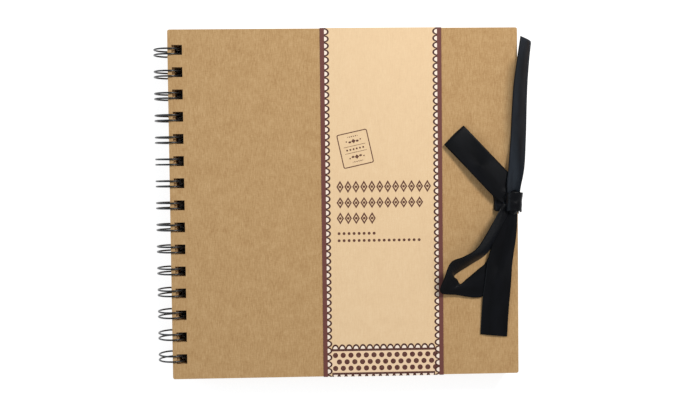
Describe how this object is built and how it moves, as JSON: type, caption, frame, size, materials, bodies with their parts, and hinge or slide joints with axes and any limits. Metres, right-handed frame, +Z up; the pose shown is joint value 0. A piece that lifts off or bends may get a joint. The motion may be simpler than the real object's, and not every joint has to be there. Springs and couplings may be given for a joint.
{
  "type": "wire-bound scrapbook album",
  "caption": "Square wire-bound scrapbook album with kraft board covers, kraft leaves, a printed paper band and a satin ribbon tied in a bow.",
  "frame": {"origin": "under the middle of the closed album, level with the lowest point of the wire loops", "axes": "+X from the spine to the fore edge, +Y up the cover, +Z up out of the front cover"},
  "size_m": [0.2177, 0.2016, 0.0333],
  "materials": {
    "kraft_board": "matte",
    "kraft_lining": "matte",
    "kraft_leaf": "matte",
    "coated_wire": "satin",
    "printed_paper": "matte",
    "satin_ribbon": "satin"
  },
  "bodies": {
    "album_back": {"back_cover": "kraft_board", "back_liner": "kraft_lining", "binding_wire": "coated_wire", "back_ribbon": "satin_ribbon"},
    "leaves_01": {"leaves_01": "kraft_leaf"},
    "leaves_02": {"leaves_02": "kraft_leaf"},
    "leaves_03": {"leaves_03": "kraft_leaf"},
    "leaves_04": {"leaves_04": "kraft_leaf"},
    "leaves_05": {"leaves_05": "kraft_leaf"},
    "leaves_06": {"leaves_06": "kraft_leaf"},
    "leaves_07": {"leaves_07": "kraft_leaf"},
    "leaves_08": {"leaves_08": "kraft_leaf"},
    "leaves_09": {"leaves_09": "kraft_leaf"},
    "leaves_10": {"leaves_10": "kraft_leaf"},
    "front": {"front_cover": "kraft_board", "front_liner": "kraft_lining", "front_ribbon": "satin_ribbon", "bow_knot": "satin_ribbon", "bow_upper_loop": "satin_ribbon", "bow_lower_loop": "satin_ribbon", "bow_upper_tail": "satin_ribbon", "bow_lower_tail": "satin_ribbon"},
    "band": {"band_face": "printed_paper", "band_inner_face": "printed_paper", "band_head_fold": "printed_paper", "band_foot_fold": "printed_paper"}
  },
  "joints": [
    {"name": "cover_open", "type": "hinge", "parent": "album_back", "child": "front", "pos_m": [-0.1008, 0, 0.00941], "axis": [0, -1, 0], "range_deg": [0, 175]},
    {"name": "leaves_01_turn", "type": "hinge", "parent": "album_back", "child": "leaves_01", "pos_m": [-0.1008, 0, 0.00941], "axis": [0, -1, 0], "range_deg": [0, 173.45]},
    {"name": "leaves_02_turn", "type": "hinge", "parent": "album_back", "child": "leaves_02", "pos_m": [-0.1008, 0, 0.00941], "axis": [0, -1, 0], "range_deg": [0, 171.7]},
    {"name": "leaves_03_turn", "type": "hinge", "parent": "album_back", "child": "leaves_03", "pos_m": [-0.1008, 0, 0.00941], "axis": [0, -1, 0], "range_deg": [0, 169.07]},
    {"name": "leaves_04_turn", "type": "hinge", "parent": "album_back", "child": "leaves_04", "pos_m": [-0.1008, 0, 0.00941], "axis": [0, -1, 0], "range_deg": [0, 165.57]},
    {"name": "leaves_05_turn", "type": "hinge", "parent": "album_back", "child": "leaves_05", "pos_m": [-0.1008, 0, 0.00941], "axis": [0, -1, 0], "range_deg": [0, 160.32]},
    {"name": "leaves_06_turn", "type": "hinge", "parent": "album_back", "child": "leaves_06", "pos_m": [-0.1008, 0, 0.00941], "axis": [0, -1, 0], "range_deg": [0, 15.08]},
    {"name": "leaves_07_turn", "type": "hinge", "parent": "album_back", "child": "leaves_07", "pos_m": [-0.1008, 0, 0.00941], "axis": [0, -1, 0], "range_deg": [0, 9.82]},
    {"name": "leaves_08_turn", "type": "hinge", "parent": "album_back", "child": "leaves_08", "pos_m": [-0.1008, 0, 0.00941], "axis": [0, -1, 0], "range_deg": [0, 6.33]},
    {"name": "leaves_09_turn", "type": "hinge", "parent": "album_back", "child": "leaves_09", "pos_m": [-0.1008, 0, 0.00941], "axis": [0, -1, 0], "range_deg": [0, 3.7]},
    {"name": "leaves_10_turn", "type": "hinge", "parent": "album_back", "child": "leaves_10", "pos_m": [-0.1008, 0, 0.00941], "axis": [0, -1, 0], "range_deg": [0, 1.95]},
    {"name": "band_slide", "type": "slide", "parent": "front", "child": "band", "axis": [-1, 0, 0], "range_m": [0, 0.075]}
  ],
  "couplings": [
    {"joint": "leaves_01_turn", "follows": "cover_open", "ratio": 0.99},
    {"joint": "leaves_02_turn", "follows": "cover_open", "ratio": 0.98},
    {"joint": "leaves_03_turn", "follows": "cover_open", "ratio": 0.965},
    {"joint": "leaves_04_turn", "follows": "cover_open", "ratio": 0.945},
    {"joint": "leaves_05_turn", "follows": "cover_open", "ratio": 0.915},
    {"joint": "leaves_06_turn", "follows": "cover_open", "ratio": 0.085},
    {"joint": "leaves_07_turn", "follows": "cover_open", "ratio": 0.055},
    {"joint": "leaves_08_turn", "follows": "cover_open", "ratio": 0.035},
    {"joint": "leaves_09_turn", "follows": "cover_open", "ratio": 0.02},
    {"joint": "leaves_10_turn", "follows": "cover_open", "ratio": 0.01}
  ]
}
